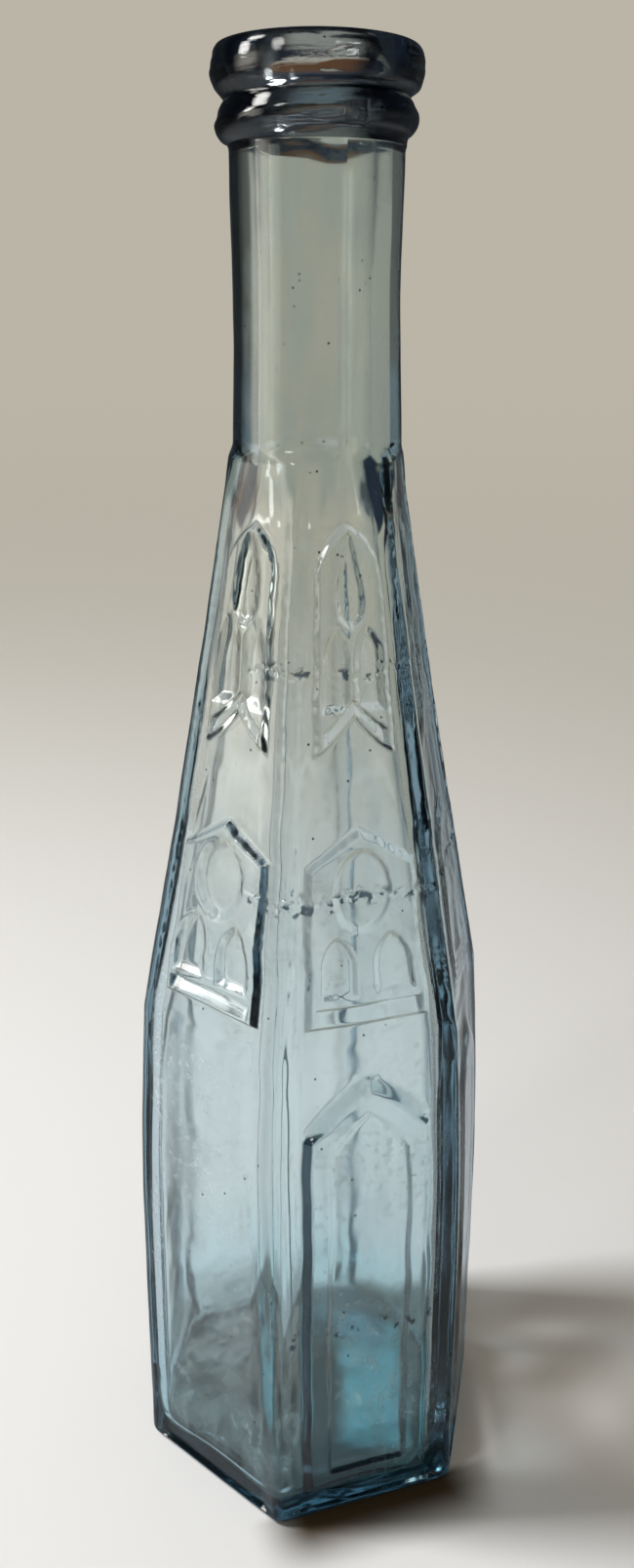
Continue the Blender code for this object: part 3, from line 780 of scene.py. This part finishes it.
# Colours that the glass gives to light from lamps
SHADOW_EDGE_POWER = 1.3
SHADOW_DIM = (0.62, 0.56, 0.50)
SHADOW_BRIGHT = (1.12, 1.12, 1.12)
SHADOW_NOISE = (75, 1)
SHADOW_PATCHES = (0.40, 0.60)
SHADOW_EDGE = (0.05, 0.06, 0.07)
SHADOW_BASE = (0.20, 0.13, 0.07)
SHADOW_BASE_HEIGHTS = (0.003, 0.009)

# Looks of the floor
PAPER = (0.738, 0.748, 0.765)
CONTACT = (0.046, 0.030, 0.014)
# The contact shade: start and reach towards -Y, and where it fades along X
CONTACT_START = 0.0256
CONTACT_REACH = 0.010
CONTACT_EDGE = (-0.004, -0.002)
CONTACT_LEFT = (-0.019, -0.009)
CONTACT_RIGHT = (0.024, 0.013)
# Light gathered on the paper, right and ahead of the axis: middles, half sizes and strength
FLOOR_PATCHES = (((0.0429, 0.0151), (0.0075, 0.0030), 0.11),
                 ((0.0485, -0.0052), (0.0060, 0.0070), 0.13),
                 ((0.0288, -0.0082), (0.0014, 0.0090), 0.08))
UNDER_PATCH = ((0.004, 0.0145), (-0.012, 0.014))
UNDER_FADE = 0.0016
UNDER_NOISE = (130, 3)
UNDER_MOTTLE = (0.15, 0.60)
UNDER_LIGHT = (0.12, 0.30, 0.33)
FLOOR_FADE_REACH = 0.38
FLOOR_FADE_POWER = 2.2
FLOOR_REACH = 4.0
# Painted shade: the paper shows darker and bluer in light that was mirrored or bent often in the glass
FLOOR_PAINTED_SHADE = (0.05, 0.15, 0.26)
FLOOR_BOUNCED_SHARE = 0.36

# Looks of the world
FILL = (0.262, 0.236, 0.198)
BACKGROUND = (0.49, 0.46, 0.385)
# The darker room above, which comes lower at the sides, and its brown part ahead
ROOM_ABOVE = (0.020, 0.030, 0.046)
ROOM_AHEAD = (0.125, 0.055, 0.019)
ROOM_AHEAD_EDGE = (0.80, 0.92)
ROOM_EDGE = (0.23, 0.33)
ROOM_EDGE_FALL = 0.30
ROOM_SIDE = (0.42, 0.41, 0.34)
ROOM_SIDE_TURN = math.radians(64)
ROOM_SIDE_EDGE = (0.695, 0.84)
# The room as light shows it that was bounced about in the glass, and as the outside mirrors it
ROOM_DARK = (0.024, 0.030, 0.030)
ROOM_DARK_LOW = (0.08, 0.17, 0.25)
ROOM_DARK_FADE = (-0.12, -0.03)
BOUNCED_SHARE = 0.70
DIMMED_TURN = math.radians(-9)
DIMMED_AHEAD = (0.70, 0.84)
ROOM_MIRRORED = (0.03, 0.036, 0.045)
ROOM_MIRRORED_SHARE = 0.93
# A tall bright window to the left
GLOW = (3.5, 3.36, 3.0)
GLOW_TURN = math.radians(-102)
GLOW_REACH = (0.36, 0.06)
GLOW_FOOT = (-0.25, -0.02)
GLOW_HEAD = (0.36, 0.16)
# Soft bright patches for the glass to mirror: right, ahead and up, outer and inner angle, strength
PATCHES = (((-0.768, -0.16, 0.62), 11, 4, 17.0),
           ((-0.614, -0.653, 0.445), 8, 3, 11.0),
           ((-0.93, -0.09, 0.357), 9, 3, 17.0))
PATCH_COLOUR = (1, 0.985, 0.95)

# Lamps: name, place (right, ahead and up), the height they aim at, size and power
LAMPS = (("window", (-0.72, 0.01, 0.66), 0.1, (0.2, 0.2), 11),
         ("lamp", (-0.62, -0.66, 0.6), 0.15, (0.16, 0.30), 1.6))
LAMP_COLOUR = (1, 0.985, 0.96)

CAMERA_PLACE = (-0.0684, -0.2041, 0.1824)
PITCH = math.radians(9.155)
ROLL = math.radians(0.173)
LENS = 32.22
SENSOR = 36
SHIFT = (-0.00435, -0.1534)


def view_way(right, ahead, up=0):
    """A direction that is given to the right, ahead and up of the camera's heading."""
    return Vector((right * RIGHT[0] + ahead * AHEAD[0], ahead * AHEAD[1] + right * RIGHT[1], up))


class Tree:
    """The nodes of a material or of the world, with short ways to add to them."""

    def __init__(self, owner):
        owner.use_nodes = True
        self.nodes = owner.node_tree.nodes
        self.link = owner.node_tree.links.new

    def fill(self, socket, value):
        """Link a socket to another one, or set it to a number, vector or colour."""
        if isinstance(value, bpy.types.NodeSocket):
            self.link(value, socket)
        elif socket.type == "RGBA":
            socket.default_value = (*value, 1)
        else:
            socket.default_value = value

    def new(self, kind, **inputs):
        """A new node, with some of its inputs filled."""
        node = self.nodes.new("ShaderNode" + kind)
        for name, value in inputs.items():
            self.fill(node.inputs[name], value)
        return node

    def maths(self, operation, *values):
        node = self.new("Math")
        node.operation = operation
        for socket, value in zip(node.inputs, values):
            self.fill(socket, value)
        return node.outputs["Value"]

    def plus(self, first, second):
        return self.maths("ADD", first, second)

    def minus(self, first, second):
        return self.maths("SUBTRACT", first, second)

    def rest(self, share):
        """What a share leaves of 1."""
        return self.minus(1, share)

    def times(self, first, *others):
        for other in others:
            first = self.maths("MULTIPLY", first, other)
        return first

    def eased(self, value, low, high):
        """0 at low and 1 at high, eased between them."""
        node = self.new("MapRange")
        node.interpolation_type = "SMOOTHSTEP"
        for name, filling in (("Value", value), ("From Min", low), ("From Max", high)):
            self.fill(node.inputs[name], filling)
        return node.outputs["Result"]

    def noise(self, place, scale, detail):
        return self.new("TexNoise", Vector=place, Scale=scale, Detail=detail).outputs["Fac"]

    def split(self, place):
        """X, y and z of a place."""
        return self.new("SeparateXYZ", Vector=place).outputs

    def along(self, way, direction):
        """How far a way reaches along a fixed direction."""
        node = self.new("VectorMath")
        node.operation = "DOT_PRODUCT"
        for socket, value in zip(node.inputs, (way, direction)):
            self.fill(socket, value)
        return node.outputs["Value"]

    def attribute(self, name):
        node = self.new("Attribute")
        node.attribute_name = name
        return node.outputs["Fac"]

    def facing(self):
        """0 where a surface faces the viewer and 1 where it is seen edge-on."""
        return self.new("LayerWeight", Blend=0.5).outputs["Facing"]

    def mix(self, share, first, second):
        """A mix of two colours."""
        node = self.new("Mix")
        node.data_type = "RGBA"
        self.link(share, node.inputs["Factor"])
        sockets = [socket for socket in node.inputs if socket.type == "RGBA"]
        for socket, colour in zip(sockets, (first, second)):
            self.fill(socket, colour)
        return [socket for socket in node.outputs if socket.type == "RGBA"][0]

    def show_mix(self, share, first, second, output):
        """Lead a mix of two shaders to the output."""
        node = self.new("MixShader")
        for socket, source in zip(node.inputs, (share, first.outputs[0], second.outputs[0])):
            self.link(source, socket)
        self.link(node.outputs["Shader"], self.nodes[output].inputs["Surface"])


def new_material(name):
    material = bpy.data.materials.new(name)
    tree = Tree(material)
    return material, tree, tree.nodes["Principled BSDF"]


def glass(name, tints, absorption, density, haze, edge, stretch, ripple):
    """Clear glass; its blown inside is a little hazy, streaked and uneven in colour. Painted shade darkens
    it where it is seen edge-on and on the steep sides of its relief.
    """
    material, tree, shader = new_material(name)
    shader.inputs["Metallic"].default_value = 0
    shader.inputs["IOR"].default_value = 1.5
    shader.inputs["Transmission Weight"].default_value = 1
    geometry = tree.new("NewGeometry")
    place = geometry.outputs["Position"]
    height = tree.split(place)[2]
    inside = tree.attribute("inside")
    stretched = tree.new("Mapping", Vector=place, Scale=stretch).outputs["Vector"]
    streaks = tree.noise(stretched, *STREAK_NOISE)
    grime = tree.times(tree.eased(streaks, *STREAKS), inside)
    cloudy = tree.eased(tree.noise(place, *CLOUD_NOISE), *CLOUDS)
    upper = tree.eased(height, *TINT_HEIGHTS)
    on_right = tree.eased(tree.along(place, RIGHT), *BASE_AQUA_SIDE)
    run = tree.times(tree.minus(streaks, 0.5), FILM_RUN)
    film = tree.rest(tree.eased(tree.plus(height, run), *FILM_HEIGHTS))
    film = tree.times(film, tree.rest(on_right), inside)
    aqua = tree.times(tree.rest(tree.eased(height, *BASE_AQUA_HEIGHTS)), on_right, inside)
    colour = tree.mix(tree.eased(height, *BASE_TINT_HEIGHTS), BASE_TINT, tree.mix(upper, *tints))
    cells = tree.new("TexVoronoi", Vector=place, Scale=SPECK_SPACING)
    speck = tree.maths("LESS_THAN", cells.outputs["Distance"], SPECK_SIZE)
    # The slope and edge layers are painted shade: dark colour on the relief's steep sides and on the glass
    # seen edge-on.
    for share, layer in ((grime, haze), (aqua, BASE_AQUA), (film, FILM_COLOUR),
                         (tree.attribute("slope"), SLOPE_SHADE_COLOUR),
                         (painted_edge_shade(tree, geometry, height, inside, edge), edge[2]),
                         (speck, edge[2]),
                         (crumb_share(tree, place, height, inside), CRUMB_COLOUR)):
        colour = tree.mix(share, colour, layer)
    tree.link(colour, shader.inputs["Base Color"])
    rough = tree.plus(tree.times(cloudy, HAZE_ROUGHNESS), INSIDE_ROUGHNESS)
    tree.link(tree.times(rough, inside), shader.inputs["Roughness"])
    speckle = tree.eased(tree.noise(place, *SPECKLE_NOISE), *SPECKLE)
    speckle = tree.times(speckle, cloudy, inside, tree.rest(upper), SPECKLE_CLOUDING)
    clouded = tree.plus(tree.times(grime, cloudy, HAZE_CLOUDING), speckle)
    film = tree.times(film, tree.eased(streaks, *FILM_STREAKS), FILM_SHARE)
    tree.link(tree.rest(tree.plus(clouded, film)), shader.inputs["Transmission Weight"])
    fineness, depth = ripple
    waviness = tree.noise(stretched, fineness, 4)
    bump = tree.new("Bump", Strength=RIPPLE_STRENGTH, Distance=depth, Height=waviness)
    tree.link(bump.outputs["Normal"], shader.inputs["Normal"])
    let_lamps_through(tree, shader)
    volume = tree.new("VolumeAbsorption")
    volume.inputs["Color"].default_value = (*absorption, 1)
    volume.inputs["Density"].default_value = density
    tree.link(volume.outputs["Volume"], tree.nodes["Material Output"].inputs["Volume"])
    return material


def painted_edge_shade(tree, geometry, height, inside, edge):
    """Share of painted shade: 1 where the outside is seen edge-on, more so on one side and less so low down.
    """
    low, high, _, lean, foot = edge
    outward = tree.along(geometry.outputs["Normal"], view_way(-1, 0))
    leaning = tree.maths("MAXIMUM", tree.times(outward, lean), 0)
    below = tree.rest(tree.eased(height, foot, foot + 0.005))
    turned_away = tree.minus(tree.plus(tree.facing(), leaning), tree.times(below, EDGE_SHADE_EASE))
    return tree.times(tree.eased(turned_away, low, high), tree.rest(inside))


def crumb_share(tree, place, height, inside):
    """1 on the small dark crumbs that stand in lines across the near faces."""
    crumbs = tree.noise(place, *CRUMB_NOISE)
    wander = tree.minus(tree.noise(place, *CRUMB_WANDER_NOISE), 0.5)
    height = tree.plus(height, tree.times(wander, CRUMB_WANDER))
    total = 0
    for level, half, least in CRUMB_LINES:
        away = tree.maths("ABSOLUTE", tree.minus(height, level))
        near = tree.eased(away, half, half * 0.4)
        total = tree.plus(total, tree.times(near, tree.eased(crumbs, least, least + 0.05)))
    for way, ends in ((AHEAD, PITS_AHEAD), (RIGHT, PITS_RIGHT)):
        total = tree.times(total, tree.eased(tree.along(place, way), *(end * MM for end in ends)))
    return tree.times(total, tree.rest(inside))


def let_lamps_through(tree, shader):
    """Rays from lamps pass straight through, least where the surface is seen edge-on."""
    edge = tree.maths("POWER", tree.facing(), SHADOW_EDGE_POWER)
    place = tree.new("NewGeometry").outputs["Position"]
    patches = tree.eased(tree.noise(place, *SHADOW_NOISE), *SHADOW_PATCHES)
    flank = tree.mix(patches, SHADOW_DIM, SHADOW_BRIGHT)
    flank = tree.mix(tree.eased(tree.split(place)[2], *SHADOW_BASE_HEIGHTS), SHADOW_BASE, flank)
    clear = tree.new("BsdfTransparent", Color=tree.mix(edge, flank, SHADOW_EDGE))
    tree.show_mix(tree.new("LightPath").outputs["Is Shadow Ray"], shader, clear, "Material Output")


def bounced_share(tree, most):
    """Up to most for light that was mirrored inside the glass, or bent often, before it came here."""
    path = tree.new("LightPath")
    mirrored = tree.maths("GREATER_THAN", path.outputs["Glossy Depth"], 0.5)
    often = tree.maths("GREATER_THAN", path.outputs["Ray Depth"], 5.5)
    first = tree.maths("LESS_THAN", path.outputs["Diffuse Depth"], 0.5)
    return tree.times(tree.maths("MAXIMUM", mirrored, often), first, most)


def first_mirror(tree, most):
    """Up to most for what the outside of the glass mirrors directly."""
    path = tree.new("LightPath")
    early = tree.maths("LESS_THAN", path.outputs["Ray Depth"], 2.5)
    return tree.times(early, path.outputs["Is Glossy Ray"], most)


def gathered_light(tree, place):
    """Light that the bottle gathers on the paper: soft patches beside it, and a blue one under it."""
    axes = [tree.along(place, way) for way in (RIGHT, AHEAD)]
    colour = (0, 0, 0)
    for centre, reach, strength in FLOOR_PATCHES:
        squared = 0
        for axis, middle, half in zip(axes, centre, reach):
            away = tree.maths("DIVIDE", tree.minus(axis, middle), half)
            squared = tree.plus(squared, tree.times(away, away))
        bright = tree.maths("EXPONENT", tree.times(squared, -1))
        colour = tree.mix(bright, colour, tuple(strength * part for part in PATCH_COLOUR))
    under = 1
    for axis, ends in zip(axes, UNDER_PATCH):
        for edge, fade in zip(ends, (UNDER_FADE, -UNDER_FADE)):
            under = tree.times(under, tree.eased(axis, edge - fade, edge + fade))
    mottled = tree.eased(tree.noise(place, *UNDER_NOISE), *UNDER_MOTTLE)
    return tree.mix(tree.times(under, mottled), colour, UNDER_LIGHT)


def contact_share(tree, place):
    """1 where the thick heel keeps the light off the paper, on the side away from the window."""
    x, y, _ = tree.split(place)
    away = tree.minus(tree.times(y, -1), CONTACT_START)
    return tree.times(tree.eased(away, CONTACT_REACH, 0), tree.eased(away, *CONTACT_EDGE),
                      tree.eased(x, *CONTACT_LEFT), tree.eased(x, *CONTACT_RIGHT))


def plain_floor():
    """White paper, which fades into the plain background far from the bottle, with a painted contact shadow,
    painted pools of light, and painted shade in what the glass shows after bounces.
    """
    material, tree, shader = new_material("floor_paper")
    place = tree.new("NewGeometry").outputs["Position"]
    paper = tree.mix(contact_share(tree, place), PAPER, CONTACT)
    paper = tree.mix(bounced_share(tree, FLOOR_BOUNCED_SHARE), paper, FLOOR_PAINTED_SHADE)
    tree.link(paper, shader.inputs["Base Color"])
    shader.inputs["Roughness"].default_value = 0.9
    shader.inputs["Specular IOR Level"].default_value = 0.1
    tree.link(gathered_light(tree, place), shader.inputs["Emission Color"])
    shader.inputs["Emission Strength"].default_value = 1
    length = tree.new("VectorMath")
    length.operation = "LENGTH"
    tree.link(place, length.inputs[0])
    far = tree.maths("DIVIDE", length.outputs["Value"], FLOOR_FADE_REACH)
    far = tree.maths("POWER", far, FLOOR_FADE_POWER)
    share = tree.maths("DIVIDE", far, tree.plus(far, 1))
    tree.show_mix(share, shader, tree.new("BsdfTransparent"), "Material Output")
    return material


def build_floor():
    data = bpy.data.meshes.new("floor")
    corners = [(FLOOR_REACH * x, FLOOR_REACH * y, -0.00002) for x, y in ((-1, -1), (1, -1), (1, 1), (-1, 1))]
    data.from_pydata(corners, [], [(0, 1, 2, 3)])
    item = add_object("floor", data)
    data.materials.append(plain_floor())


def build_camera():
    data = bpy.data.cameras.new("camera")
    data.lens = LENS
    data.sensor_width = SENSOR
    data.shift_x, data.shift_y = SHIFT
    data.clip_start = 0.01
    data.clip_end = 20
    item = add_object("camera", data)
    heading = Matrix.Rotation(-HEADING, 4, "Z")
    pitch = Matrix.Rotation(math.pi / 2 - PITCH, 4, "X")
    roll = Matrix.Rotation(ROLL, 4, "Z")
    item.matrix_world = Matrix.Translation(CAMERA_PLACE) @ heading @ pitch @ roll
    bpy.context.scene.camera = item


def area_light(name, place, target_z, size, power):
    """A lamp that aims at the axis, and isn't itself seen."""
    data = bpy.data.lights.new(name, "AREA")
    data.shape = "RECTANGLE"
    data.size, data.size_y = size
    data.energy = power
    data.color = LAMP_COLOUR
    item = add_object(name, data)
    item.location = view_way(*place)
    item.visible_camera = False
    item.visible_glossy = False
    item.visible_transmission = False
    item.rotation_mode = "QUATERNION"
    item.rotation_quaternion = (Vector((0, 0, target_z)) - item.location).to_track_quat("-Z", "Y")


def build_world():
    """Plain soft light, a plain background, and a darker room above it for the glass to show."""
    world = bpy.data.worlds.new("world")
    bpy.context.scene.world = world
    tree = Tree(world)
    fill = tree.nodes["Background"]
    fill.inputs["Color"].default_value = (*FILL, 1)
    direction = tree.new("TexCoord").outputs["Generated"]
    height = tree.split(direction)[2]
    path = tree.new("LightPath")
    hidden = tree.rest(path.outputs["Is Camera Ray"])

    def towards(turn):
        """How far it points along a level direction, turned right from the heading."""
        return tree.along(direction, view_way(math.sin(turn), math.cos(turn)))

    lowered = tree.times(tree.rest(towards(0)), ROOM_EDGE_FALL)
    above = tree.times(tree.eased(tree.plus(height, lowered), *ROOM_EDGE), hidden)
    beside = tree.eased(towards(ROOM_SIDE_TURN), *ROOM_SIDE_EDGE)
    ahead = towards(DIMMED_TURN)
    dimmed = tree.times(tree.eased(ahead, *DIMMED_AHEAD), bounced_share(tree, BOUNCED_SHARE))
    dark = tree.mix(tree.eased(height, *ROOM_DARK_FADE), ROOM_DARK_LOW, ROOM_DARK)
    upper = tree.mix(tree.eased(ahead, *ROOM_AHEAD_EDGE), ROOM_ABOVE, ROOM_AHEAD)
    glow = tree.eased(tree.maths("ABSOLUTE", towards(GLOW_TURN + math.pi / 2)), *GLOW_REACH)
    glow = tree.times(glow, tree.maths("GREATER_THAN", towards(GLOW_TURN), 0), hidden,
                      tree.eased(height, *GLOW_FOOT), tree.eased(height, *GLOW_HEAD))
    mirrored = first_mirror(tree, ROOM_MIRRORED_SHARE)
    colour = tree.mix(beside, BACKGROUND, ROOM_SIDE)
    for share, layer in ((dimmed, dark), (above, upper), (mirrored, ROOM_MIRRORED), (glow, GLOW)):
        colour = tree.mix(share, colour, layer)
    for place, outer, inner, strength in PATCHES:
        cosine = tree.along(direction, view_way(*place).normalized())
        share = tree.eased(cosine, math.cos(math.radians(outer)), math.cos(math.radians(inner)))
        share = tree.times(share, hidden)
        colour = tree.mix(share, colour, tuple(strength * part for part in PATCH_COLOUR))
    seen = tree.new("Background", Color=colour)
    shown = tree.maths("MAXIMUM", path.outputs["Is Camera Ray"], path.outputs["Is Glossy Ray"])
    shown = tree.maths("MAXIMUM", shown, path.outputs["Is Transmission Ray"])
    shown = tree.times(shown, tree.maths("LESS_THAN", path.outputs["Diffuse Depth"], 0.5))
    tree.show_mix(shown, fill, seen, "World Output")


bpy.context.scene.view_settings.view_transform = "Standard"
build_world()
build_camera()
build_floor()
for settings in LAMPS:
    area_light(*settings)

body = build_body()
body.data.materials.append(glass("aqua_glass", *BODY_GLASS))
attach(body, "root")
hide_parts("bottle_body")

lip = build_lip()
lip.data.materials.append(glass("lip_aqua_glass", *LIP_GLASS))
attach(lip, "root")
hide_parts("applied_lip")
